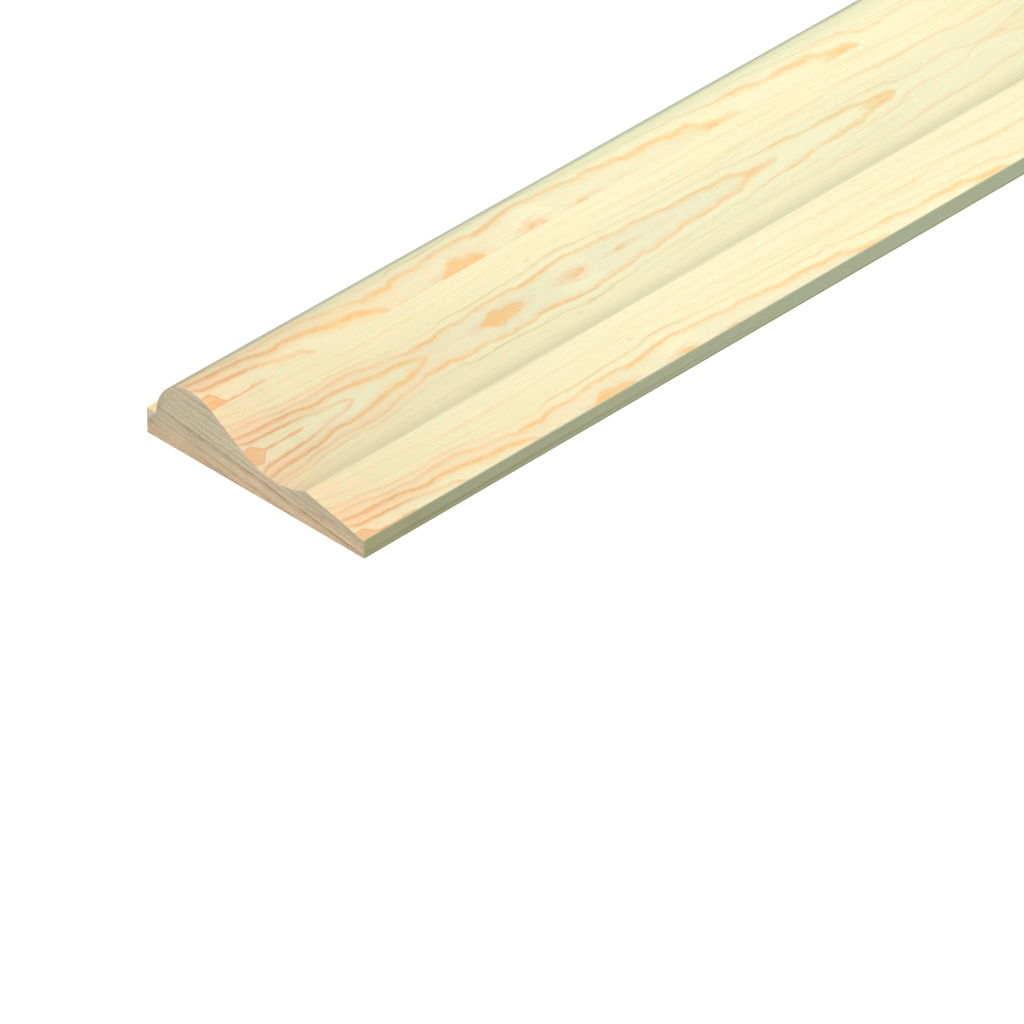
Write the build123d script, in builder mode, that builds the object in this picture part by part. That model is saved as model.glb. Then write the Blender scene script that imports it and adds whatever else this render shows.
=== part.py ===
from build123d import *
import os
from math import asin, cos, degrees, radians, sin, sqrt

# A panel moulding: one length of planed softwood with the same section from end to end.
# X runs along the length, Y across the width with the thick edge at +Y, and Z up from the flat back.
# The origin is at the middle of the back. All sizes are in millimetres and angles in degrees.

# Overall sizes
length = 2400.0
width = 57.0
height = 15.0

# Ledge along the thick edge, where the moulding meets the frame
ledge_width = 2.5
ledge_height = 5.75

# Bead, which stands on the ledge and rises to the full height
bead_radius = 9.5

# Straight flank that falls from the bead into the hollow
flank_angle = 31.8

# Hollow, from the flank to the ridge
hollow_radius = 16.3
hollow_floor = 5.75

# Bevel, from the ridge down to the thin edge
bevel_width = 15.2
edge_height = 4.05

# Easing of the sharp arrises on the face
arris_radius = 0.3

# Places that follow from the sizes
thick_side = width / 2
thin_side = -width / 2
flank = radians(flank_angle)

bead_y = thick_side - ledge_width - bead_radius
bead_z = height - bead_radius
bead_start = degrees(asin((ledge_height - bead_z) / bead_radius))

# The bead and the hollow turn by the flank's angle each, and the straight flank takes the rest of the fall
turned_fall = (bead_radius + hollow_radius) * (1 - cos(flank))
flank_length = (height - hollow_floor - turned_fall) / sin(flank)

hollow_y = bead_y - (bead_radius + hollow_radius) * sin(flank) - flank_length * cos(flank)
hollow_z = hollow_floor + hollow_radius

ridge_y = thin_side + bevel_width
ridge_z = hollow_z - sqrt(hollow_radius**2 - (hollow_y - ridge_y) ** 2)
hollow_rise = degrees(asin((hollow_y - ridge_y) / hollow_radius))

with BuildPart() as panel_moulding:
    with BuildSketch(Plane.YZ) as section:
        with BuildLine():
            bead = CenterArc((bead_y, bead_z), bead_radius, bead_start, 90 + flank_angle - bead_start)
            hollow = CenterArc(
                (hollow_y, hollow_z), hollow_radius, 270 + flank_angle, -flank_angle - hollow_rise
            )
            Line(bead @ 1, hollow @ 0)
            Polyline(
                hollow @ 1,
                (thin_side, edge_height),
                (thin_side, 0),
                (thick_side, 0),
                (thick_side, ledge_height),
                bead @ 0,
            )
        make_face()
        arrises = [(thick_side, ledge_height), (ridge_y, ridge_z), (thin_side, edge_height)]
        for y, z in arrises:
            corner = section.vertices().sort_by_distance(Vector(0, y, z))[0]
            fillet(corner, radius=arris_radius)
    extrude(amount=length / 2, both=True)

panel_moulding.part.label = "panel_moulding"

os.makedirs("parts", exist_ok=True)
export_step(panel_moulding.part, "parts/panel_moulding.step")
print(f"Section {section.sketch.area:.1f} mm2, hollow centre {hollow_y:.2f}, {hollow_z:.2f}, ridge {ridge_z:.2f}")
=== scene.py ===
from collections import namedtuple
from math import atan, ceil, cos, degrees, hypot, pi, radians, sin, sqrt

import bpy
from bpy.props import FloatProperty, FloatVectorProperty, IntProperty, PointerProperty
from bpy.types import Operator, Panel, PropertyGroup
from mathutils import Matrix, Vector


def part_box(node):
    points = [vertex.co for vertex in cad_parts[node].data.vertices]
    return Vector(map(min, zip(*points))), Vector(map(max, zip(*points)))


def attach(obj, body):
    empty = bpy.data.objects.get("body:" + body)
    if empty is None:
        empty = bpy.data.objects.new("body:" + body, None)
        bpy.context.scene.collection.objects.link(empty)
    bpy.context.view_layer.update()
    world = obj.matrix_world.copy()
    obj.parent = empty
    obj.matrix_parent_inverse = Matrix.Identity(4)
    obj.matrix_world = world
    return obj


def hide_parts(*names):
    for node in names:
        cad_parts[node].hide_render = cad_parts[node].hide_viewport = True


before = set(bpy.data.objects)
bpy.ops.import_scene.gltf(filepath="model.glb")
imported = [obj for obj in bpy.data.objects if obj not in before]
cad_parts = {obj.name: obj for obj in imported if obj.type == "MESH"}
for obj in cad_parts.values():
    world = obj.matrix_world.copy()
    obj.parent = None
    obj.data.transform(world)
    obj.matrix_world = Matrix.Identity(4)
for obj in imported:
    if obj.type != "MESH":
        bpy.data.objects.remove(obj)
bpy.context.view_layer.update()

bl_info = {
    "name": "Panel moulding",
    "version": (1, 0, 0),
    "blender": (4, 5, 0),
    "location": "View3D > Sidebar > Moulding",
    "description": "A length of planed pine moulding, with growth rings, sawn ends and a plain studio",
    "category": "Object",
}

NODE = "panel_moulding"
BODY = "root"

MM = 0.001
LOW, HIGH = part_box(NODE)
GRAIN_MAP = "grain"

# A second map lays the whole surface out flat with no overlaps, the length cut into strips side by side
FLAT_MAP = "OFBake"
FLAT_STRIPS = 4
FLAT_MARGIN = 3 * MM

# The grain is drawn in millimetres: along the length from the front end, and across from the middle of
# the figure. The figure is listed over its first stretch, and fades into wandering rings after that.
FIGURE_LENGTH = 196.0
FADE_START, FADE_END = FIGURE_LENGTH - 6, FIGURE_LENGTH + 30
TRACK_LOW, TRACK_HIGH = -2.0, 12.0

# A growth ring of dark latewood: how far it runs from the middle of the figure, its half width and its
# strength, at places along the figure. It closes to a point where its track falls below nought.
Ring = namedtuple("Ring", "track widths strengths")
INNER_RING = Ring(
    (
        (0, 3.2), (2.5, 2.55), (6, 2.4), (10, 2.2), (15, 1.8), (20, 1.05), (24, 0.8), (26.3, 0.1),
        (28, -1.5),
    ),
    ((0, 0.4), (4, 0.38), (14, 0.4), (20, 0.5), (28, 0.5)),
    ((0, 0.6), (3, 0.8), (14, 0.7), (17, 0.42), (22, 0.4), (25, 0.5)),
)
MIDDLE_RING = Ring(
    (
        (0, 4.55), (3.6, 4.1), (9.7, 3.8), (15, 3.4), (17, 3.0), (19.5, 2.65), (22, 2.85), (27.5, 2.55),
        (30.5, 2.15), (33, 1.8), (35, 1.5), (38.5, 1.45), (40.5, 1.15), (42.5, 0.85), (45.5, 0.1),
        (47.5, -1.5),
    ),
    ((0, 0.45), (15, 0.5), (24, 0.55), (31, 0.7), (38, 0.8), (43, 0.65), (48, 0.45)),
    ((0, 0.95), (12, 0.85), (20, 0.78), (30, 0.78), (36, 0.76), (46, 0.6)),
)
OUTER_RING = Ring(
    (
        (0, 5.9), (4.5, 5.75), (8, 5.45), (11.5, 4.8), (15, 4.65), (19, 4.35), (22, 4.55), (26, 4.65),
        (29.5, 4.55), (32, 4.1), (34.7, 3.55), (38.3, 3.25), (41, 3.05), (43.6, 2.5), (46.5, 2.6),
        (49, 2.35), (50.5, 2.85), (54, 3.05), (57.5, 2.85), (61, 3.2), (65, 3.4), (70, 3.35),
        (73, 2.95), (76, 3.05), (79, 3.35), (81, 3.65), (84.3, 3.85), (88, 3.55), (91.5, 3.35),
        (96, 3.2), (99.6, 2.65), (102.5, 2.95), (106, 2.5), (109.6, 2.4), (112, 1.9), (115.7, 1.95),
        (120.4, 1.8), (124, 1.45), (127, 1.45), (129, 1.0), (130.4, 0.65), (133, 0.2), (139, 0.05),
        (141, -1.5),
    ),
    (
        (0, 0.45), (42, 0.45), (46, 0.6), (50, 0.6), (53, 0.5), (70, 0.5), (77, 0.58), (85, 0.45),
        (98, 0.56), (110, 0.58), (122, 0.62), (132, 0.78), (141, 0.6),
    ),
    (
        (0, 0.5), (4, 0.4), (20, 0.4), (24, 0.5), (40, 0.5), (44, 0.7), (50, 0.74), (58, 0.7),
        (70, 0.8), (77, 0.75), (86, 0.6), (98, 0.56), (106, 0.6), (114, 0.53), (124, 0.58), (131, 0.56),
        (136, 0.35), (140, 0.3),
    ),
)
RINGS = (
    INNER_RING,
    MIDDLE_RING,
    OUTER_RING,
    Ring(
        (
            (0, 7.55), (2.6, 6.8), (8, 6.6), (11, 6.15), (13.3, 5.8), (17.6, 5.7), (22, 5.55),
            (25.4, 5.9), (29.4, 5.6), (33, 5.35), (35, 5.0), (38.3, 4.65), (41, 4.35), (43.6, 4.2),
            (50.4, 4.05), (52, 4.45), (55.7, 4.8), (59.3, 4.55), (64.6, 4.7), (68, 4.85), (75.4, 5.0),
            (79, 5.25), (81.4, 5.6), (84.3, 5.6), (87, 5.45), (89.6, 5.1), (93.6, 5.1), (96.4, 4.55),
            (100.7, 4.45), (106, 4.1), (111.4, 3.95), (115, 3.8), (120.4, 3.65), (124, 3.35),
            (127, 3.65), (129.3, 3.1), (133, 2.85), (136.4, 2.6), (141, 2.5), (144.3, 2.35),
            (147.3, 1.9), (150.6, 1.75), (154, 1.9), (156.8, 1.6), (161, 1.65), (163, 1.15),
            (165.2, 0.85), (167, 0.55), (170.3, 0.45), (172.3, 0), (174, -1.5),
        ),
        (
            (0, 0.5), (3, 0.3), (50, 0.28), (84, 0.32), (120, 0.28), (138, 0.32), (144, 0.55),
            (150, 0.36), (157, 0.58), (163, 0.6), (167, 0.7), (174, 0.6),
        ),
        (
            (0, 0.6), (3, 0.35), (12, 0.4), (30, 0.35), (40, 0.3), (50, 0.35), (56, 0.45), (66, 0.4),
            (76, 0.35), (84, 0.55), (92, 0.35), (100, 0.25), (112, 0.3), (124, 0.3), (136, 0.4),
            (144, 0.52), (150, 0.45), (157, 0.72), (165, 0.5), (172, 0.5),
        ),
    ),
    Ring(
        (
            (0, 9.4), (10, 7.9), (20, 7.2), (33, 6.7), (43, 5.8), (60, 6.2), (84, 7.1), (100, 6.0),
            (120, 5.2), (140, 4.2), (150, 3.5), (160, 2.9), (171.4, 2.35), (173.5, 1.6), (175, 1.4),
            (179.3, 1.2), (184, 1.45), (189, 1.45), (191.4, 1.2), (193.5, 0.55), (195.6, 0.15),
        ),
        ((0, 0.35), (150, 0.3), (196, 0.3)),
        ((0, 0.3), (8, 0.15), (140, 0.1), (155, 0.15), (164, 0.35), (171, 0.38), (176, 0.3), (196, 0.3)),
    ),
    Ring(
        (
            (0, 11.0), (20, 9.5), (45, 8), (60, 8.2), (84, 9.2), (100, 8), (115, 6.6), (128, 5.75),
            (137, 5.75), (146, 6.15), (152, 5.9), (163, 6.45), (168, 6.45), (173.5, 5.85), (180, 5.65),
            (186, 5.75), (195.6, 4.95),
        ),
        ((0, 0.35), (128, 0.4), (196, 0.35)),
        (
            (0, 0.1), (45, 0.2), (70, 0.1), (120, 0.1), (130, 0.25), (140, 0.15), (150, 0.3),
            (160, 0.15), (175, 0.4),
        ),
    ),
)

# The first rings keep their full tone, and those further out are duller
FULL_RINGS = 3

# Latewood that fills the middle of the figure: its half height, and its strength, at places along the figure
CORE_TRACK = (
    (0, 1.9), (1.6, 1.85), (3, 0.9), (4.2, 0.32), (5.5, 0.24), (9.6, 0.26), (11, 0.5), (12.4, 0.22),
    (16, 0.08), (18, -1.5), (57.5, -1.5), (59.8, 0), (61.6, 0.7), (63.7, 1.6), (65, 1.65), (66.6, 1.1),
    (68.4, 1.15), (70, 0.75), (71.7, 0.05), (73.5, -1.5), (80.5, -1.5), (82, 0.1), (83.5, 0.6),
    (85, 0.8), (86.8, 0.4), (88, -0.1), (89.5, -1.5), (93.5, -1.5), (95.3, 0), (97, 0.45), (98.8, 0.05),
    (100.5, -1.5), (128.5, -1.5), (130.5, 0.1), (133, 0.5), (137, 0.28), (139.6, -0.1), (141, -1.5),
    (159, -1.5), (162.5, -0.1), (164.6, 0.55), (167, 0.95), (169.6, 0.85), (171.4, 0.35), (172.4, 0),
    (173.6, -1.5),
)
CORE_STRENGTHS = (
    (0, 0.98), (10, 0.9), (18, 0.6), (60, 0.95), (68, 0.95), (72, 0.8), (82, 1.12), (88, 1.12),
    (94, 0.95), (104, 0.6), (128, 0.42), (132, 0.4), (140, 0.32), (160, 0.42), (172, 0.5),
)

# How the fine rings bend in towards the figure, at places along it
FINE_BEND = (
    (0, 9), (10, 7.9), (20, 6.9), (45, 5.2), (60, 5.4), (84, 6.2), (100, 5.4), (130, 4.4), (150, 3.4),
    (165, 1.5), (180, 0.5), (196, 0),
)

# A pinkish patch on the middle of the figure: where it is, its half length and half height, and its strength
Patch = namedtuple("Patch", "along length height strength")
BLUSH_PATCHES = (
    Patch(50, 7, 0.35, 0.5), Patch(60, 5, 0.9, 0.55), Patch(67, 8, 2.3, 0.3), Patch(84.2, 5.2, 1.6, 0.6),
    Patch(98, 6, 0.6, 0.45), Patch(108, 5, 0.6, 0.25),
)
SPECK = Patch(78, 0.9, 0.4, 0.3)
SPECK_PLACE = 6.65

# Rings that cross the sawn end: height above the back at the thick side, half width and strength
END_RINGS = (
    (3.2, 0.3, 0.35), (5.05, 0.28, 0.5), (7.05, 0.2, 0.55), (7.7, 0.26, 1.1), (9.1, 0.28, 0.34),
    (10.4, 0.28, 0.28), (11.8, 0.25, 0.24), (13.4, 0.28, 0.35), (15.1, 0.3, 0.6),
)
END_RING_FALL = 0.123

# How the long faces carry the figure: the distance round the section from which the figure is measured, how
# much it is stretched across, and how far it is moved out and along
Band = namedtuple("Band", "until origin stretch out along material")
FACE, EDGE, BACK, END = range(4)
BAND_GAP = 100.0
THICK_EDGE_ALONG = 700
BACK_ALONG = 950

# The growth rings that follow the figure: how far apart they are and how far they wander in and out
LATER_GAP = 4.0
LATER_WANDER = 24.0

# The small pin knot on the middle of the figure: its place along, and how far off it starts and is full
KNOT_PLACE = 85
KNOT_REACH = 6, 3

# How rough each kind of surface is
ROUGHNESS = {FACE: 0.62, EDGE: 0.66, BACK: 0.7, END: 0.8}

# How deep the planer's knife marks are, and the marks of the saw and the torn grit on a sawn end
KNIFE_DEPTHS = {FACE: 0.0012, EDGE: 0.0015, BACK: 0.004}
SAW_DEPTH = 0.02
GRIT_DEPTH = 0.03

# Where the painted shades lie in the section, from the middle of the back. A pair says where a painted
# shade starts and where it is full.
HOLLOW_FOOT = -1 * MM
HOLLOW_SHADE = 10 * MM, 3 * MM
SLOPE_START = -6.3 * MM
SLOPE_EASE = 0.7 * MM
RIDGE_EASE = 0.42 * MM
BEAD_HEIGHT = 8 * MM, 12 * MM
BEAD_SHADE = 13 * MM, 20.5 * MM
SIDE_SHADE = 19.5 * MM, 21.9 * MM
SIDE_FOOT = 25.5 * MM, 21.4 * MM

# Edges that turn by more degrees than this are drawn sharp, and the eased rims of the ends turn by less
SHARP_ANGLE = 50

# How far apart two places may be and still count as one
TOUCHING = 1e-9

# How far past white the floor glows, so that it shows no grey
FLOOR_LIFT = 0.05


def srgb(red, green, blue):
    """A colour given as 0 to 255 on screen, as the linear colour that a material holds."""

    def linear(value):
        value /= 255
        return value / 12.92 if value <= 0.04045 else ((value + 0.055) / 1.055) ** 2.4

    return linear(red), linear(green), linear(blue)


def number_property(name, value, description, **settings):
    return FloatProperty(name=name, description=description, default=value, **settings)


def size_property(name, millimetres, description):
    return number_property(name, millimetres * MM, description, min=0, precision=5, unit="LENGTH")


def angle_property(name, turned_degrees, description):
    return number_property(name, radians(turned_degrees), description, unit="ROTATION")


def colour_property(name, colour, description):
    return FloatVectorProperty(
        name=name, description=description, default=colour, min=0, max=1, size=3, subtype="COLOR"
    )


def direction_property(name, direction, description):
    return FloatVectorProperty(name=name, description=description, default=direction, size=3)


class SectionSizes(PropertyGroup):
    ledge_width: size_property("Ledge width", 2.5, "Flat ledge along the thick edge")
    ledge_height: size_property("Ledge height", 5.75, "Height of the ledge above the back")
    bead_radius: size_property("Bead radius", 9.5, "Radius of the bead that rises to the full height")
    flank_angle: angle_property("Flank angle", 31.8, "Fall of the straight flank")
    hollow_radius: size_property("Hollow radius", 16.3, "Radius of the hollow")
    hollow_floor: size_property("Hollow floor", 5.75, "Lowest height of the hollow above the back")
    bevel_width: size_property("Bevel width", 15.2, "Width of the bevel beside the thin edge")
    edge_height: size_property("Thin edge height", 4.05, "Height of the thin edge")
    arris_radius: size_property("Arris radius", 0.3, "Easing of the sharp arrises on the face")
    end_easing: size_property("End easing", 0.12, "Easing round the two sawn ends")
    facet: size_property("Facet", 0.5, "Longest step round the curves of the section")
    station: size_property("Station", 12.0, "Distance between the rings of points along the length")
    figure_cut: size_property("Figure cut", 17.5, "Where the figure on the bead ends, from the thick side")
    figure_middle: size_property("Figure middle", 27.1, "The middle of the figure, from the thick side")


class WoodFinish(PropertyGroup):
    front_wood: colour_property("Front earlywood", srgb(238, 227, 186), "Pale wood at the front end")
    far_wood: colour_property("Far earlywood", srgb(252, 244, 203), "Pale wood further along")
    front_ring: colour_property("Front latewood", srgb(233, 180, 126), "Growth rings at the front end")
    far_ring: colour_property("Far latewood", srgb(250, 198, 128), "Growth rings further along")
    gold_ring: colour_property("Golden latewood", srgb(252, 198, 112), "Growth rings further along still")
    fine_ring: colour_property("Fine latewood", srgb(226, 206, 138), "Fine rings outside the figure")
    blush: colour_property("Resin blush", srgb(246, 209, 166), "Pinkish wood beside the strong rings")
    speck: colour_property("Speck", srgb(214, 200, 150), "Small dull specks")
    middle_tint: colour_property("Middle tint", (0.955, 0.95, 0.96), "Greyer wood between the strong rings")
    # Painted shade in the hollow's foot, where less light reaches
    hollow_painted_shade: colour_property("Hollow tint", (0.895, 0.935, 0.97), "Darker wood in the hollow's foot")
    # Painted shade on the slope to the ridge, which faces away from the light
    slope_painted_shade: colour_property("Slope tint", (0.81, 0.84, 0.855), "Darker wood on the slope to the ridge")
    # Painted cool shade over the top of the bead, where it turns from the light
    bead_painted_shade: colour_property("Bead tint", (0.89, 0.96, 0.98), "Cooler wood over the top of the bead")
    # Painted shade where the bead turns away from the light
    side_painted_shade: colour_property("Side tint", (0.56, 0.64, 0.69), "Darker wood where the bead turns away")
    front_tint: colour_property("Front tint", (0.9, 0.83, 0.79), "Darker wood close to the front end")
    pink_fleck: colour_property("Pink fleck", (1.0, 0.955, 0.94), "Tint of the warmer flecks")
    green_fleck: colour_property("Green fleck", (0.95, 0.99, 0.99), "Tint of the cooler flecks")
    fine_strength: number_property("Fine rings", 0.44, "Strength of the fine rings", min=0, max=1)
    edge_wood: colour_property("Edge wood", srgb(231, 235, 194), "Wood of the two planed edges")
    edge_line: colour_property("Edge rings", srgb(196, 190, 142), "Rings that run along the edges")
    end_wood: colour_property("End wood", srgb(203, 192, 163), "Wood of the sawn ends")
    end_line: colour_property("End rings", srgb(156, 125, 98), "Rings that cross the sawn ends")
    end_warmth: colour_property("End warmth", srgb(229, 200, 163), "Warmer wood low on the sawn ends")
    relief: size_property("Ring relief", 0.03, "How far the hard rings stand proud of the soft wood")
    fibre: size_property("Fibre relief", 0.012, "Depth of the fine fibres")
    knife_pitch: size_property("Knife pitch", 2.2, "Distance between the planer's knife marks")


class StudioSettings(PropertyGroup):
    view_elevation: angle_property("View elevation", 35.47, "Camera's angle above level")
    view_turn: angle_property("View turn", 45.25, "Camera's turn from the end face")
    lens: number_property("Lens", 402.8, "Focal length in millimetres", min=1)
    corner_distance: number_property("Corner distance", 2.0827, "Depth of the near corner", unit="LENGTH")
    corner_column: number_property("Corner column", 363.95, "Near corner's place across the picture")
    corner_row: number_property("Corner row", 558.9, "Near corner's place down the picture")
    picture_side: IntProperty(name="Picture side", description="Side of the picture", default=1024)
    key_strength: number_property("Key strength", 3.4, "Strength of the main light")
    key_from: direction_property("Key from", (-0.75, -0.35, 1.0), "Where the main light comes from")
    key_angle: angle_property("Key softness", 25, "Size of the main light")
    key_colour: colour_property("Key colour", (1.0, 0.965, 0.98), "Colour of the main light")
    fill_strength: number_property("Fill strength", 0.6, "Strength of the light from behind")
    fill_from: direction_property("Fill from", (0.5, 1.0, 0.08), "Where the fill light comes from")
    fill_angle: angle_property("Fill softness", 40, "Size of the fill light")
    fill_colour: colour_property("Fill colour", (1.0, 0.96, 0.9), "Colour of the fill light")
    room_light: colour_property("Room light", (0.15, 0.19, 0.19), "Light that comes from all round")
    floor_bounce: colour_property("Floor bounce", (0.18, 0.2, 0.2), "Light that the floor gives back")
    floor_glow: number_property("Floor glow", 0.45, "How far the floor stays white in shade")
    floor_size: number_property("Floor size", 60.0, "Side of the floor", unit="LENGTH")


def eased(before, corner, after, radius, steps=4):
    """The points of a small arc that eases a corner between two straight runs."""
    towards = (Vector(before) - Vector(corner)).normalized()
    onwards = (Vector(after) - Vector(corner)).normalized()
    half = towards.angle(onwards) / 2
    reach = radius / sin(half) * cos(half)
    centre = Vector(corner) + (towards + onwards).normalized() * radius / sin(half)
    start = Vector(corner) + towards * reach - centre
    end = Vector(corner) + onwards * reach - centre
    return [tuple(centre + start.slerp(end, i / steps) * radius) for i in range(steps + 1)]


def straight(start, end, step, margin=0.1 * MM):
    """Points between two places on a flat, with one close to each end to keep the flat's shading flat."""
    length = (Vector(end) - Vector(start)).length
    steps = max(1, ceil(length / step))
    places = [margin] + [length * i / steps for i in range(1, steps)] + [length - margin]
    return [tuple(Vector(start).lerp(Vector(end), place / length)) for place in places]


def arc(centre, radius, start, end, step):
    """Points on an arc between two angles in degrees, both ends included."""
    steps = ceil(abs(radians(end - start)) * radius / step)
    angles = [radians(start + (end - start) * i / steps) for i in range(steps + 1)]
    return [(centre[0] + radius * cos(a), centre[1] + radius * sin(a)) for a in angles]


def face_outline(sizes):
    """The section from the thick edge's foot, over the face, to the thin edge's foot, as (y, z)."""
    flank = sizes.flank_angle
    turn = degrees(flank)
    flat_step = sizes.facet * 2
    bead_centre = HIGH.y - sizes.ledge_width - sizes.bead_radius, HIGH.z - sizes.bead_radius
    lift = atan((sizes.ledge_height - bead_centre[1]) / sizes.bead_radius)
    bead = arc(bead_centre, sizes.bead_radius, degrees(lift), 90 + turn, sizes.facet)

    radii = sizes.bead_radius + sizes.hollow_radius
    fall = HIGH.z - sizes.hollow_floor - radii * (1 - cos(flank))
    flank_length = fall / sin(flank)
    hollow_centre = (
        bead_centre[0] - radii * sin(flank) - flank_length * cos(flank),
        sizes.hollow_floor + sizes.hollow_radius,
    )
    ridge_y = LOW.y + sizes.bevel_width
    ridge_out = hollow_centre[0] - ridge_y
    rise = degrees(atan(ridge_out / sqrt(sizes.hollow_radius**2 - ridge_out**2)))
    hollow = arc(hollow_centre, sizes.hollow_radius, 270 + turn, 270 - rise, sizes.facet)

    ledge_arris = (HIGH.y, sizes.ledge_height)
    thin_arris = (LOW.y, sizes.edge_height)
    thick_foot = (HIGH.y, LOW.z)
    thin_foot = (LOW.y, LOW.z)
    ridge = hollow[-1]
    ledge_ease = eased(thick_foot, ledge_arris, bead[0], sizes.arris_radius)
    ridge_ease = eased(hollow[-2], ridge, thin_arris, sizes.arris_radius)
    thin_ease = eased(ridge, thin_arris, thin_foot, sizes.arris_radius)

    return [
        thick_foot,
        *straight(thick_foot, ledge_ease[0], flat_step),
        *ledge_ease,
        *straight(ledge_ease[-1], bead[0], flat_step),
        *bead,
        *straight(bead[-1], hollow[0], flat_step),
        *[point for point in hollow if point[0] > ridge_ease[0][0]],
        *ridge_ease,
        *straight(ridge_ease[-1], thin_ease[0], flat_step),
        *thin_ease,
        *straight(thin_ease[-1], thin_foot, flat_step),
        thin_foot,
    ]


def with_point_at(outline, y):
    """The outline with one more point, where it crosses this place across the width."""
    for index, (before, after) in enumerate(zip(outline, outline[1:])):
        if before[0] > y > after[0]:
            share = (before[0] - y) / (before[0] - after[0])
            point = (y, before[1] + (after[1] - before[1]) * share)
            return outline[: index + 1] + [point] + outline[index + 1 :]
    return outline


def distances(outline):
    """How far each point of the closed outline is from the first, and the whole way round as the last."""
    found = [0.0]
    for before, after in zip(outline, outline[1:] + outline[:1]):
        found.append(found[-1] + hypot(after[0] - before[0], after[1] - before[1]))
    return found


def inset(outline, depth):
    """The closed outline moved inwards, for the eased edge of a sawn end."""
    moved = []
    for index, point in enumerate(outline):
        before = Vector(outline[index - 1])
        after = Vector(outline[(index + 1) % len(outline)])
        along = (after - before).normalized()
        moved.append((point[0] - along.y * depth, point[1] + along.x * depth))
    return moved


def grain_bands(sizes, outline, along):
    """The bands of the long faces, in order round the section from the foot of the thick edge."""

    def at(y, z):
        nearest = min(range(len(outline)), key=lambda i: hypot(outline[i][0] - y, outline[i][1] - z))
        return along[nearest] / MM

    def face_at(offset):
        y = HIGH.y - offset
        return next(along[i] / MM for i, point in enumerate(outline) if abs(point[0] - y) < TOUCHING)

    ledge = at(HIGH.y, sizes.ledge_height)
    cut = face_at(sizes.figure_cut)
    middle = face_at(sizes.figure_middle)
    ridge = at(LOW.y + sizes.bevel_width, HIGH.z / 2)
    thin = at(LOW.y, sizes.edge_height)
    foot = at(LOW.y, LOW.z)
    back_middle = foot + (HIGH.y - LOW.y) / 2 / MM
    return (
        Band(ledge, 0, 1.0, 0, THICK_EDGE_ALONG, EDGE),
        Band(cut, cut, 1.79, BAND_GAP, 0, FACE),
        Band(middle, middle, 1.0, 0, 0, FACE),
        Band(ridge, middle, 1.28, 0, 0, FACE),
        Band(thin, thin, 1.31, 2 * BAND_GAP, 0, FACE),
        Band(foot, foot, 1.0, 0, 0, EDGE),
        Band(along[-1] / MM, back_middle, 1.6, 0, BACK_ALONG, BACK),
    )


def flat_places(rings, along, end_heights):
    """The flat map's points: the strips of the long faces one above another, and the two ends over them."""
    count = len(along) - 1
    girth = along[-1]
    each = ceil((len(rings) - 1) / FLAT_STRIPS)
    side = rings[each][0] - rings[0][0] + 2 * FLAT_MARGIN
    found = []
    for ring in range(len(rings) - 1):
        strip = ring // each
        start = rings[strip * each][0]
        foot = FLAT_MARGIN + strip * (girth + FLAT_MARGIN)
        for corner in range(count):
            near = rings[ring][0] - start + FLAT_MARGIN
            far = rings[ring + 1][0] - start + FLAT_MARGIN
            low, high = foot + along[corner], foot + along[corner + 1]
            found += [(near, low), (far, low), (far, high), (near, high)]
    foot = FLAT_MARGIN + FLAT_STRIPS * (girth + FLAT_MARGIN)
    for index, section in enumerate(end_heights):
        start = FLAT_MARGIN + index * (HIGH.y - LOW.y + FLAT_MARGIN)
        found += [(start + HIGH.y - y, foot + z - LOW.z) for y, z in section]
    return [value / side for place in found for value in place]


def moulding_mesh(sizes):
    """The length of moulding, with its grain map and one material for each kind of surface.

    The faces are listed looking inwards and turned outwards at the end.
    """
    outline = face_outline(sizes)
    outline = with_point_at(outline, HIGH.y - sizes.figure_cut)
    outline = with_point_at(outline, HIGH.y - sizes.figure_middle)
    back_steps = ceil((HIGH.y - LOW.y) / (sizes.facet * 4))
    outline += [(LOW.y + (HIGH.y - LOW.y) * i / back_steps, LOW.z) for i in range(1, back_steps)]
    along = distances(outline)
    bands = grain_bands(sizes, outline, along)

    stations = ceil((HIGH.x - LOW.x) / sizes.station)
    inner_low = LOW.x + sizes.end_easing
    inner_high = HIGH.x - sizes.end_easing
    places = [inner_low + (inner_high - inner_low) * i / stations for i in range(stations + 1)]
    small = inset(outline, sizes.end_easing)
    rings = [(LOW.x, small)] + [(x, outline) for x in places] + [(HIGH.x, small)]
    count = len(outline)
    points = [(x, y, z) for x, section in rings for y, z in section]

    faces, materials, grain = [], [], []
    for ring in range(len(rings) - 1):
        for side in range(count):
            following = (side + 1) % count
            first, second = ring * count, (ring + 1) * count
            faces.append((first + side, second + side, second + following, first + following))
            middle = (along[side] + along[side + 1]) / 2 / MM
            band = next(band for band in bands if middle <= band.until)
            materials.append(band.material)
            near = rings[ring][0], rings[ring + 1][0], rings[ring + 1][0], rings[ring][0]
            across = along[side], along[side], along[side + 1], along[side + 1]
            for x, distance in zip(near, across):
                out = band.out + (distance / MM - band.origin) / band.stretch
                grain.append(((x - LOW.x) / MM + band.along, out))
    faces.append(tuple(range(count)))
    last = (len(rings) - 1) * count
    faces.append(tuple(last + index for index in reversed(range(count))))
    for section in (small, reversed(small)):
        materials.append(END)
        grain += [((HIGH.y - y) / MM, z / MM) for y, z in section]

    mesh = bpy.data.meshes.new("moulding_length")
    mesh.from_pydata(points, [], faces)
    layer = mesh.uv_layers.new(name=GRAIN_MAP)
    layer.data.foreach_set("uv", [value for pair in grain for value in pair])
    flat = mesh.uv_layers.new(name=FLAT_MAP)
    flat.data.foreach_set("uv", flat_places(rings, along, (small, list(reversed(small)))))
    mesh.polygons.foreach_set("material_index", materials)
    mesh.flip_normals()
    mesh.set_sharp_from_angle(angle=radians(SHARP_ANGLE))
    mesh.validate()
    return mesh


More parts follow.
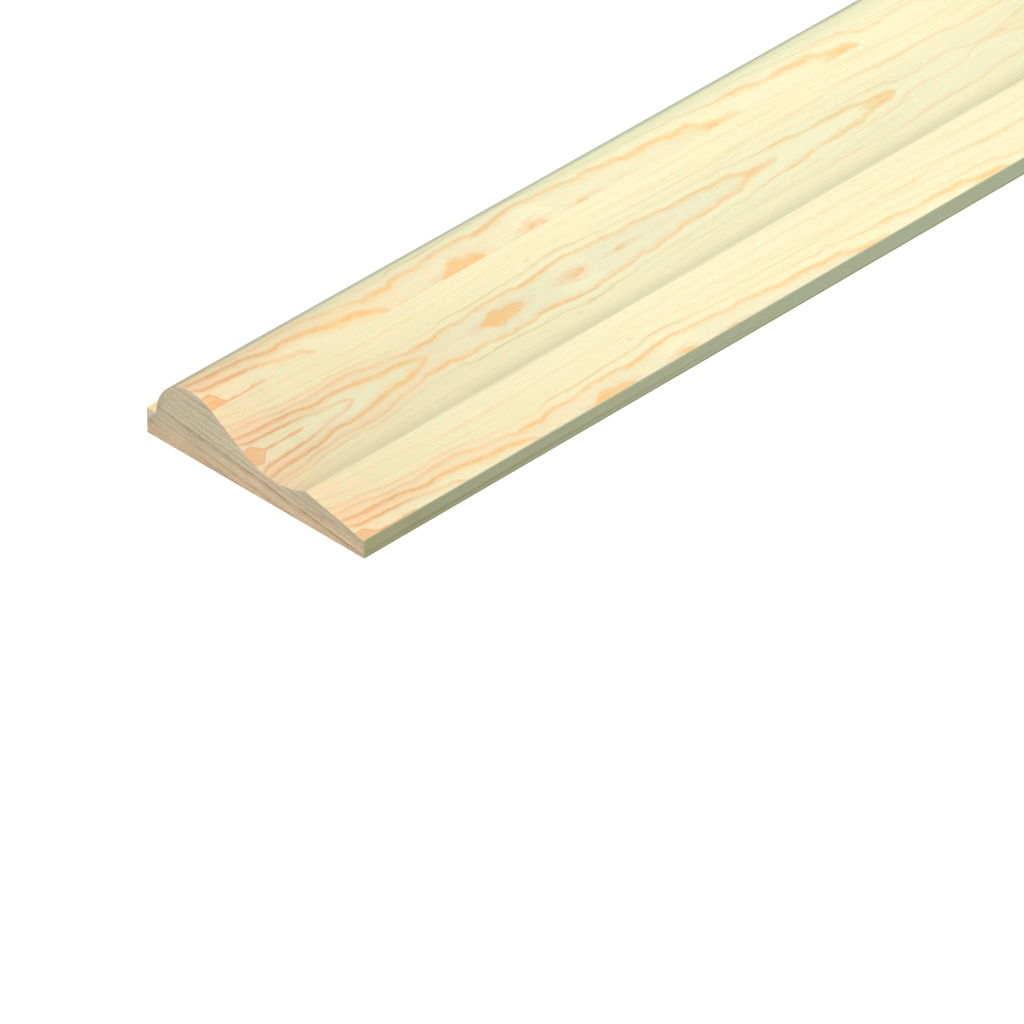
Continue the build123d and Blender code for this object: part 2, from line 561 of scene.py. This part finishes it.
def worked(operation, turned=False):
    """A method of Number that works out one operation, with the values turned round where that is said."""

    def method(self, *others):
        values = (*others, self) if turned else (self, *others)
        return self.graph.maths(operation, *values)

    return method


class Number:
    """A number that nodes work out, so that a pattern can be written as plain arithmetic."""

    def __init__(self, graph, socket):
        self.graph = graph
        self.socket = socket

    __add__ = __radd__ = worked("ADD")
    __sub__ = worked("SUBTRACT")
    __rsub__ = worked("SUBTRACT", turned=True)
    __mul__ = __rmul__ = worked("MULTIPLY")
    __truediv__ = worked("DIVIDE")
    __pow__ = worked("POWER")
    size = worked("ABSOLUTE")
    root = worked("SQRT")
    floor = worked("FLOOR")
    most = worked("MAXIMUM")

    def clamped(self):
        return self.graph.maths("ADD", self, 0, clamp=True)


class Graph:
    """The nodes of a new material or world, with short names for the few kinds that are needed here."""

    def __init__(self, name, library="materials"):
        self.owner = getattr(bpy.data, library).new(name)
        self.owner.use_nodes = True
        self.nodes = self.owner.node_tree.nodes
        self.links = self.owner.node_tree.links

    def feed(self, socket, value):
        if isinstance(value, Number):
            self.links.new(value.socket, socket)
        elif hasattr(value, "__len__") and len(value) == 3 and len(socket.default_value) == 4:
            socket.default_value = (*value, 1)
        else:
            socket.default_value = value

    def node(self, kind, inputs=(), **settings):
        """A new node with these settings, and with these inputs fed by their name or place."""
        made = self.nodes.new(kind)
        for name, value in settings.items():
            setattr(made, name, value)
        for place, value in dict(inputs).items():
            self.feed(made.inputs[place], value)
        return made

    def number(self, kind, inputs=(), output=0, **settings):
        """What a new node gives."""
        return Number(self, self.node(kind, inputs, **settings).outputs[output])

    def maths(self, operation, *values, clamp=False):
        return self.number("ShaderNodeMath", enumerate(values), operation=operation, use_clamp=clamp)

    def parts(self, place):
        """The three numbers of a place."""
        split = self.node("ShaderNodeSeparateXYZ", {0: place})
        return [Number(self, socket) for socket in split.outputs]

    def grain(self):
        """Along and across the grain, in millimetres."""
        return self.parts(self.number("ShaderNodeUVMap", uv_map=GRAIN_MAP))[:2]

    def smooth(self, value, low, high):
        """0 at low and 1 at high, with a soft start and end."""
        inputs = {"Value": value, "From Min": low, "From Max": high}
        return self.number("ShaderNodeMapRange", inputs, interpolation_type="SMOOTHSTEP")

    def curve(self, position, points, low=0.0, high=1.0):
        """A smooth line through points, read at a position along the figure."""
        made = self.node("ShaderNodeFloatCurve", {"Value": position / FIGURE_LENGTH})
        made.mapping.extend = "HORIZONTAL"
        line = made.mapping.curves[0]
        while len(line.points) < len(points):
            line.points.new(0.5, 0.5)
        for handle, (x, y) in zip(line.points, points):
            handle.location = (x / FIGURE_LENGTH, (y - low) / (high - low))
            handle.handle_type = "AUTO_CLAMPED"
        made.mapping.update()
        return Number(self, made.outputs[0]) * (high - low) + low

    def noise(self, x, y, seed, detail=2.0, roughness=0.5):
        """Smooth noise from -0.5 to 0.5, one lump for each unit of x and y."""
        place = self.number("ShaderNodeCombineXYZ", {0: x, 1: y, 2: seed})
        inputs = {"Vector": place, "Scale": 1, "Detail": detail, "Roughness": roughness}
        return self.number("ShaderNodeTexNoise", inputs) - 0.5

    def wave(self, value, half):
        """A wave that climbs from 0 to 1 over half its length and falls again."""
        return self.maths("PINGPONG", value, half) / half

    def knife_marks(self, along, pitch):
        """The marks that a planer's knives leave along the length, from -1 to 1."""
        return self.maths("SINE", along * (2 * pi * MM / pitch))

    def mix(self, amount, first, second, blend="MIX"):
        """The first colour with the second laid over it, as far as the amount says."""
        inputs = {0: amount, 6: first, 7: second}
        return self.number("ShaderNodeMix", inputs, 2, data_type="RGBA", blend_type=blend)

    def tinted(self, colour, cover, tint):
        """The colour multiplied by a tint, as far as the cover says."""
        return self.mix(cover, colour, tint, "MULTIPLY")

    def bright(self, colour, factor):
        """The colour made lighter or darker by a factor."""
        return self.number("ShaderNodeVectorMath", {0: colour, "Scale": factor}, operation="SCALE")

    def finish(self, colour, height, roughness, shine=0.25):
        """Joins the colour, the relief in millimetres and the roughness to the surface."""
        relief = self.number("ShaderNodeBump", {"Strength": 1, "Distance": MM, "Height": height})
        names = ("Base Color", "Roughness", "Specular IOR Level", "Normal")
        for name, value in zip(names, (colour, roughness, shine, relief)):
            self.feed(self.nodes["Principled BSDF"].inputs[name], value)
        return self.owner


def patch_cover(graph, patch, along, across, waver):
    """1 inside a pointed patch on the middle of the figure, and 0 outside it."""
    far = ((along - patch.along).size() / patch.length) ** 1.6
    reach = far + (across / patch.height) ** 1.4 + waver
    return graph.smooth(reach, 1.45, 0.5) * patch.strength


def long_grain(finish):
    """Planed pine along the grain, with a figure of pointed rings, patches, fine rings and fibres."""
    graph = Graph("planed_pine")
    along, chart_across = graph.grain()
    band = (chart_across / BAND_GAP + 0.5).floor()
    side = chart_across - band * BAND_GAP
    across = side.size()
    later = graph.smooth(along, FADE_START, FADE_END)
    tremble = graph.noise(along / 2.2, across / 0.6, 1.3)
    notches = graph.noise(along / 0.9, across / 0.3, 5.3, detail=1)
    waver = graph.noise(along / 20, across / 2.5, 7.7)
    rough_across = across + tremble * 0.4 + notches * 0.24
    drift = graph.noise(along / 130, band * 3.7, 3.1, detail=1) * LATER_WANDER * later

    # Pale wood, warmer towards the front end and in slow clouds
    cloud = graph.noise(along / 50, across / 5, 5.5)
    warmth = (graph.smooth(along, 112, -12) + cloud * 0.25).clamped()
    colour = graph.mix(warmth, finish.far_wood, finish.front_wood)

    # Pinkish blush between the strong rings near the front, and round the patches
    places = [graph.curve(along, ring.track, TRACK_LOW, TRACK_HIGH) for ring in RINGS]
    inner, middle, outer = places[:3]
    blush = graph.smooth(across - middle, -0.8, 1.0) * graph.smooth(across - outer, 2.8, -0.3)
    blush = blush * graph.smooth(along, 78, 20) * 0.55
    heart = graph.smooth(across - inner, -0.3, 0.2) * graph.smooth(across - middle, 0.3, -0.2)
    blush = blush.most(heart * graph.smooth(along, 25, 14) * 0.65).most(0.06)
    for patch in BLUSH_PATCHES:
        blush = blush.most(patch_cover(graph, patch, along, across, tremble * 2.5))
    mottle = graph.noise(along / 2.0, chart_across / 0.45, 9.2)
    colour = graph.mix((blush * (mottle * 0.9 + 0.9)).clamped(), colour, finish.blush)

    knot = graph.smooth((along - KNOT_PLACE).size(), *KNOT_REACH)
    grey = graph.smooth(across - outer, 0.6, -0.8)
    grey = grey * graph.smooth(along, 35, 75) * graph.smooth(along, 160, 125) * (1.0 - knot * 0.8)
    colour = graph.tinted(colour, grey, finish.middle_tint)

    # Fine rings outside the figure, which bend with it and straighten out further away
    follow = (graph.curve(along, FINE_BEND, 0, TRACK_HIGH) - drift) / ((across / 8) ** 2 + 1)
    fine_at = across - follow + waver * 0.5 + tremble * 0.14
    fine_wave = graph.wave(fine_at + graph.noise(fine_at / 1.3, 0, 2.2, detail=0), 0.36)
    fine_seen = (graph.noise(along / 22, fine_at / 0.7, 6.1) * 3.0 + 0.55).clamped()
    fine = graph.smooth(fine_wave, 0.42, 1.0) * fine_seen * graph.smooth(across - outer.most(0.4), 0.3, 1.8)
    calm = 1.0 - graph.smooth(side, 4, 7) * 0.35
    fine = fine * (1.0 - graph.smooth(along, 80, 120) * 0.35) * calm
    broad = graph.smooth(graph.noise(along / 55, (fine_at + waver * 0.8) / 0.85, 4.9, detail=1), 0.0, 0.22)
    broad = broad * graph.smooth(along, 60, 120) * graph.smooth(across - outer.most(0.4), 0.4, 1.6)
    fine_cover = (fine * finish.fine_strength).most(broad * calm * 0.26)
    colour = graph.mix(fine_cover, colour, finish.fine_ring)

    # The strong rings: a thin dark core towards the outer side, in a soft glow that reaches further inwards
    tone = graph.mix(graph.smooth(along, 6, 40), finish.front_ring, finish.far_ring)
    tone = graph.mix(graph.smooth(along + band.clamped() * 35, 115, 160), tone, finish.gold_ring)
    faded = graph.smooth(along, 42, 60) * graph.smooth(along, 145, 120) * 0.6
    dull_tone = graph.mix(faded, tone, finish.fine_ring)
    lively = (waver * 1.2 + 1) * (tremble * 1.2 + 1)
    figure = 1.0 - later
    drawn = []
    for ring, place in zip(RINGS, places):
        width = graph.curve(along, ring.widths)
        strength = graph.curve(along, ring.strengths) * figure
        drawn.append(((rough_across - place) / width, strength))

    # Beyond the figure the rings wander in and out, and close into eyes where they reach the middle line
    bowed = (across * across + 1.2).root() - 1.1 + drift + waver * 1.6 + tremble * 0.5
    nearest = (bowed / LATER_GAP + 0.5).floor()
    width = graph.noise(along / 35, nearest * 7.7, 4.4) * 0.9 + 0.5
    strength = (graph.noise(along / 60, nearest * 3.3 + band, 8.3) * 2.4 + 0.5).clamped()
    strength = strength * graph.smooth(across, 9, 3) * later
    drawn.append(((bowed - nearest * LATER_GAP) / width, strength))

    hardness = fine * 0.4
    for index, (offset, strength) in enumerate(drawn):
        outside = graph.maths("GREATER_THAN", offset, 0)
        glow = graph.smooth(offset.size() / (2.1 - outside * 0.7), 1.0, 0.0) * 0.5
        core = graph.smooth((offset - 0.25).size(), 1.0, 0.1) * 0.58
        cover = ((glow + core) * strength * lively).clamped()
        colour = graph.mix(cover, colour, tone if index < FULL_RINGS else dull_tone)
        hardness = hardness.most(cover)

    # Fibres, fine streaks along the grain
    streak = graph.noise(along / 22, chart_across / 0.16, 8.8, detail=3, roughness=0.6)
    pores = graph.noise(along / 3.5, chart_across / 0.08, 0.7, detail=1)

    # Latewood on the middle line, darker round its rim at the front end, and split into strands at the knot
    strands = (graph.noise(along / 1.8, chart_across / 0.35, 6.7, detail=1) * 4 + 0.75).clamped()
    soft = graph.smooth(along, 15, 60) * 0.25 + 0.12
    inside = graph.curve(along, CORE_TRACK, TRACK_LOW, TRACK_HIGH) - across - tremble * 0.7 - streak * 0.5
    filled = graph.smooth(inside, 0.0 - soft, soft) * graph.curve(along, CORE_STRENGTHS)
    filled = filled * (streak * 2.4 + mottle + 1) * (1.0 - knot + strands * knot)
    rim_line = graph.smooth((inside - 0.12).size(), 0.22, 0.0) * graph.smooth(along, 30, 8) * 0.3
    cover = (filled * 0.8 + rim_line).clamped()
    colour = graph.mix(cover, colour, graph.mix(0.35, tone, finish.far_ring))
    hardness = hardness.most(cover)
    speck = patch_cover(graph, SPECK, along, (across - SPECK_PLACE).size(), tremble * 2)
    colour = graph.mix(speck, colour, finish.speck)

    flecks = (graph.noise(along / 1.7, chart_across / 0.8, 5.9, detail=1) * 3 + 0.5).clamped()
    colour = graph.tinted(colour, 0.9, graph.mix(flecks, finish.pink_fleck, finish.green_fleck))

    # The painted shades across the section, and the dark front end
    # How deep the painted shade on the slope is: streaky, and lighter near the front end
    slope_shade_depth = (streak * 1.4 + 1) * (1.0 - graph.smooth(along, 60, 0) * 0.36)
    colour = painted_shades(graph, colour, finish, slope_shade_depth)
    colour = graph.tinted(colour, graph.smooth(along, 16, 0), finish.front_tint)
    colour = graph.bright(colour, 1.025 + streak * 0.1 + pores * 0.06 + mottle * 0.07 + notches * 0.05)

    knife = graph.knife_marks(along, finish.knife_pitch)
    height = hardness * (finish.relief / MM) + (streak + pores) * (finish.fibre / MM)
    roughness = ROUGHNESS[FACE] - hardness * 0.1 + streak * 0.12
    return graph.finish(colour, height + knife * KNIFE_DEPTHS[FACE], roughness)


def painted_shades(graph, colour, finish, slope_shade_depth):
    """Painted shade where less light falls: the wood a little darker in the hollow, on the slope to the
    ridge, over the bead and down its side.
    """
    across, up = graph.parts(graph.number("ShaderNodeTexCoord", output="Object"))[1:]
    # Painted shade in the hollow's foot, where less light reaches it
    hollow = graph.smooth((across - HOLLOW_FOOT).size(), *HOLLOW_SHADE)
    # Painted shade on the slope up to the ridge, which faces away from the key light
    ridge = LOW.y + finish.id_data.moulding_section.bevel_width
    before_ridge = graph.maths("GREATER_THAN", across, ridge - RIDGE_EASE)
    slope = graph.smooth(across, SLOPE_START, ridge - SLOPE_EASE) * before_ridge * slope_shade_depth
    high = graph.smooth(up, *BEAD_HEIGHT)
    # Painted cool shade over the top of the bead, where it turns from the key light
    bead = graph.smooth(across, *BEAD_SHADE) * high
    # Painted shade down the side of the bead that turns away from the light, fading out towards its foot
    side = graph.smooth(across, *SIDE_SHADE) * graph.smooth(across, *SIDE_FOOT) * high
    colour = graph.tinted(colour, hollow, finish.hollow_painted_shade)
    colour = graph.tinted(colour, slope, finish.slope_painted_shade)
    colour = graph.tinted(colour, bead, finish.bead_painted_shade)
    return graph.tinted(colour, side, finish.side_painted_shade)


def edge_grain(finish):
    """The two planed edges, where the rings show as long dark lines."""
    graph = Graph("planed_edge")
    along, across = graph.grain()
    up = across.size()
    waver = graph.noise(along / 30, up / 2, 2.9) * 0.5
    streak = graph.noise(along / 30, up / 0.14, 8.1, detail=3, roughness=0.6)
    mottle = graph.noise(along / 1.4, up / 0.5, 4.8, detail=2)
    lines = graph.noise(along / 160, (up + waver) / 0.55, 3.3, detail=2)
    low_ring = graph.smooth((up + waver * 0.5 - 1.2).size(), 0.75, 0.1) * graph.smooth(along, 150, 0)
    foot_ring = graph.smooth(up, 0.7, 0.2) * (graph.smooth(along, 40, 0) * 0.5 + 0.8)
    dark = (low_ring * 0.8).most(foot_ring).most((lines * 1.6 - 0.1).clamped() * 0.5).clamped()
    colour = graph.mix(dark, finish.edge_wood, finish.edge_line)
    front = graph.smooth(along, 110, 0) * 0.4 + graph.smooth(along, 30, 0) * 0.35
    colour = graph.mix(front, colour, finish.edge_line)
    colour = graph.bright(colour, 1.0 + streak * 0.12 + mottle * 0.14 - graph.smooth(along, 11, 0) * 0.17)
    knife = graph.knife_marks(along, finish.knife_pitch)
    height = dark * (finish.relief / MM) + streak * (finish.fibre / MM) + knife * KNIFE_DEPTHS[EDGE]
    return graph.finish(colour, height, ROUGHNESS[EDGE] + streak * 0.12)


def back_grain(finish):
    """The flat back, planed less finely than the face."""
    graph = Graph("planed_back")
    along, across = graph.grain()
    out = across.size()
    bend = graph.noise(along / 170, 0, 6.6, detail=1) * 9
    waver = graph.noise(along / 40, out / 3, 4.1) * 0.7
    rings_at = (out * out + 2.5).root() + bend + waver
    ring_wave = graph.wave(rings_at + graph.noise(rings_at / 2.1, 0, 5.2) * 1.2, 0.85)
    seen = (graph.noise(along / 60, rings_at / 1.5, 1.9) * 1.8 + 0.65).clamped()
    cover = graph.smooth(ring_wave, 0.55, 1.0) * seen
    streak = graph.noise(along / 26, across / 0.18, 3.8, detail=3, roughness=0.6)
    colour = graph.mix(graph.smooth(along, 1100, 900) * 0.6, finish.far_wood, finish.front_wood)
    colour = graph.mix(cover * 0.75, colour, finish.front_ring)
    colour = graph.bright(colour, 0.94 + streak * 0.1)
    knife = graph.knife_marks(along, finish.knife_pitch * 1.8)
    height = cover * (finish.relief / MM) + streak * (finish.fibre / MM * 1.5) + knife * KNIFE_DEPTHS[BACK]
    return graph.finish(colour, height, ROUGHNESS[BACK] + streak * 0.12)


def end_grain(finish):
    """A sawn end, with the rings crossing it at a slight fall."""
    graph = Graph("sawn_end")
    over, up = graph.grain()
    bend = graph.noise(over / 11, up / 9, 1.7, detail=1) * 0.5
    bend = bend + graph.noise(over / 2.2, up / 1.5, 5.1) * 0.16
    rings_at = up + over * END_RING_FALL + bend
    fleck = graph.noise(over / 1.6, rings_at / 0.2, 2.6, detail=2, roughness=0.6)
    grit = graph.noise(over / 0.4, up / 0.3, 9.9, detail=1)
    foot = graph.smooth(up + bend, 6.0, 0.5)
    colour = graph.mix(foot, finish.end_wood, finish.end_warmth)
    even = graph.wave(rings_at + graph.noise(rings_at / 1.6, 0, 4.3, detail=0) * 0.5, 0.3)
    faint = (graph.noise(over / 7, rings_at / 0.26, 7.3, detail=1) * 3.6 + even * 0.9 - 0.34).clamped()
    colour = graph.mix(faint * 0.32, colour, finish.end_line)
    seen = (graph.noise(over / 3, rings_at / 1.2, 3.9) * 2.4 + 0.8).clamped()
    seen = seen * (graph.smooth(over, 2, 16) * 0.5 + 0.5)
    dark = faint * 0.3
    for place, width, strength in END_RINGS:
        offset = rings_at - place
        below = graph.maths("LESS_THAN", offset, 0)
        cover = graph.smooth(offset.size() / (below * width * 0.9 + width), 1.0, 0.1) * seen * strength
        colour = graph.mix(cover * 0.8, colour, finish.end_line)
        dark = dark.most(cover)
    # Painted light and shade across the sawn end: lighter towards the thick edge, darker towards the top,
    # and darker towards the thin edge above its lowest 3 mm
    light = graph.smooth(over, 18, 2) * 0.15 - graph.smooth(up, 7, 11) * 0.06
    light = light - graph.smooth(over, 30, 46) * graph.smooth(up, 1.6, 3.0) * 0.09
    colour = graph.bright(colour, light + 0.93 + fleck * 0.34 + grit * 0.6)
    saw = graph.noise(over / 0.35, up / 12, 6.3, detail=1)
    height = dark * SAW_DEPTH + fleck * GRIT_DEPTH + grit * GRIT_DEPTH + saw * SAW_DEPTH
    return graph.finish(colour, height, ROUGHNESS[END] + fleck * 0.1, shine=0.15)


class MOULDING_OT_length(Operator):
    """Make the length of moulding, with its planed faces and sawn ends"""

    bl_idname = "moulding.length"
    bl_label = "Make the moulding"
    bl_options = {"REGISTER", "UNDO"}

    def execute(self, context):
        scene = context.scene
        finish = scene.moulding_finish
        piece = bpy.data.objects.new("moulding_length", moulding_mesh(scene.moulding_section))
        scene.collection.objects.link(piece)
        for material in (long_grain(finish), edge_grain(finish), back_grain(finish), end_grain(finish)):
            piece.data.materials.append(material)
        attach(piece, BODY)
        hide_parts(NODE)
        return {"FINISHED"}


def seen_by_eye(graph):
    """1 for what the camera sees, straight or in a reflection, and 0 for light that bounces."""
    path = graph.node("ShaderNodeLightPath")
    names = ("Is Camera Ray", "Is Glossy Ray", "Is Transmission Ray")
    straight_ray, glossy, through = [Number(graph, path.outputs[name]) for name in names]
    return straight_ray.most(glossy).most(through)


def floor_material(studio):
    """A plain white floor that takes the object's shadow and gives little light back."""
    graph = Graph("studio_floor")
    graph.nodes.remove(graph.nodes["Principled BSDF"])
    seen = seen_by_eye(graph)
    colour = graph.mix(seen, studio.floor_bounce, [1 - studio.floor_glow] * 3)
    surface = graph.number("ShaderNodeBsdfDiffuse", {"Color": colour})
    glow = graph.number("ShaderNodeEmission", {"Strength": seen * (studio.floor_glow + FLOOR_LIFT)})
    both = graph.number("ShaderNodeAddShader", {0: surface, 1: glow})
    graph.feed(graph.nodes["Material Output"].inputs["Surface"], both)
    return graph.owner


def white_room(studio):
    """White for the eye, and a dim cool light for the object."""
    graph = Graph("studio_room", "worlds")
    colour = graph.mix(seen_by_eye(graph), studio.room_light, (1, 1, 1))
    graph.feed(graph.nodes["Background"].inputs["Color"], colour)
    graph.feed(graph.nodes["Background"].inputs["Strength"], 1)
    return graph.owner


def studio_light(name, strength, angle, colour, comes_from):
    """A soft light from one direction."""
    lamp = bpy.data.lights.new(name, "SUN")
    lamp.energy = strength
    lamp.angle = angle
    lamp.color = colour
    light = bpy.data.objects.new(name, lamp)
    light.rotation_euler = Vector(comes_from).to_track_quat("Z", "Y").to_euler()
    return light


def studio_camera(studio):
    """The camera, placed so that the near bottom corner falls on its pixel at its depth."""
    elevation, turn = studio.view_elevation, studio.view_turn
    level = Vector((sin(turn), cos(turn), 0))
    right = Vector((cos(turn), -sin(turn), 0))
    forward = level * cos(elevation) - Vector((0, 0, sin(elevation)))
    up = right.cross(forward)
    data = bpy.data.cameras.new("studio_camera")
    data.lens = studio.lens
    focal = studio.lens / data.sensor_width * studio.picture_side
    sideways = (studio.corner_column - studio.picture_side / 2) / focal
    downwards = (studio.corner_row - studio.picture_side / 2) / focal
    corner = Vector((LOW.x, LOW.y, LOW.z))
    place = corner - (forward + right * sideways - up * downwards) * studio.corner_distance
    data.clip_start = 0.1
    data.clip_end = 100
    camera = bpy.data.objects.new("studio_camera", data)
    turned = Matrix((right, up, -forward)).transposed().to_4x4()
    camera.matrix_world = Matrix.Translation(place) @ turned
    return camera


class MOULDING_OT_studio(Operator):
    """Make the floor, the light and the camera"""

    bl_idname = "moulding.studio"
    bl_label = "Make the studio"
    bl_options = {"REGISTER", "UNDO"}

    def execute(self, context):
        scene = context.scene
        studio = scene.moulding_studio
        half = studio.floor_size / 2
        mesh = bpy.data.meshes.new("studio_floor")
        corners = [(-half, -half, LOW.z), (half, -half, LOW.z), (half, half, LOW.z), (-half, half, LOW.z)]
        mesh.from_pydata(corners, [], [(0, 1, 2, 3)])
        mesh.materials.append(floor_material(studio))
        floor = bpy.data.objects.new("studio_floor", mesh)
        camera = studio_camera(studio)
        key = studio_light(
            "key_light", studio.key_strength, studio.key_angle, studio.key_colour, studio.key_from
        )
        fill = studio_light(
            "fill_light", studio.fill_strength, studio.fill_angle, studio.fill_colour, studio.fill_from
        )
        for made in (floor, camera, key, fill):
            scene.collection.objects.link(made)
        scene.camera = camera
        scene.world = white_room(studio)
        scene.view_settings.view_transform = "Standard"
        return {"FINISHED"}


class MOULDING_PT_panel(Panel):
    """Sizes, finish and studio of the moulding"""

    bl_idname = "MOULDING_PT_panel"
    bl_label = "Panel moulding"
    bl_space_type = "VIEW_3D"
    bl_region_type = "UI"
    bl_category = "Moulding"

    def draw(self, context):
        scene = context.scene
        groups = (
            (scene.moulding_section, "moulding.length"),
            (scene.moulding_finish, None),
            (scene.moulding_studio, "moulding.studio"),
        )
        for group, operator in groups:
            box = self.layout.box()
            for name in group.__annotations__:
                box.prop(group, name)
            if operator:
                box.operator(operator)


CLASSES = (
    SectionSizes,
    WoodFinish,
    StudioSettings,
    MOULDING_OT_length,
    MOULDING_OT_studio,
    MOULDING_PT_panel,
)


def register():
    for cls in CLASSES:
        bpy.utils.register_class(cls)
    bpy.types.Scene.moulding_section = PointerProperty(type=SectionSizes)
    bpy.types.Scene.moulding_finish = PointerProperty(type=WoodFinish)
    bpy.types.Scene.moulding_studio = PointerProperty(type=StudioSettings)


def unregister():
    del bpy.types.Scene.moulding_section
    del bpy.types.Scene.moulding_finish
    del bpy.types.Scene.moulding_studio
    for cls in reversed(CLASSES):
        bpy.utils.unregister_class(cls)


def main():
    register()
    bpy.ops.moulding.length()
    bpy.ops.moulding.studio()


if __name__ == "__main__":
    main()
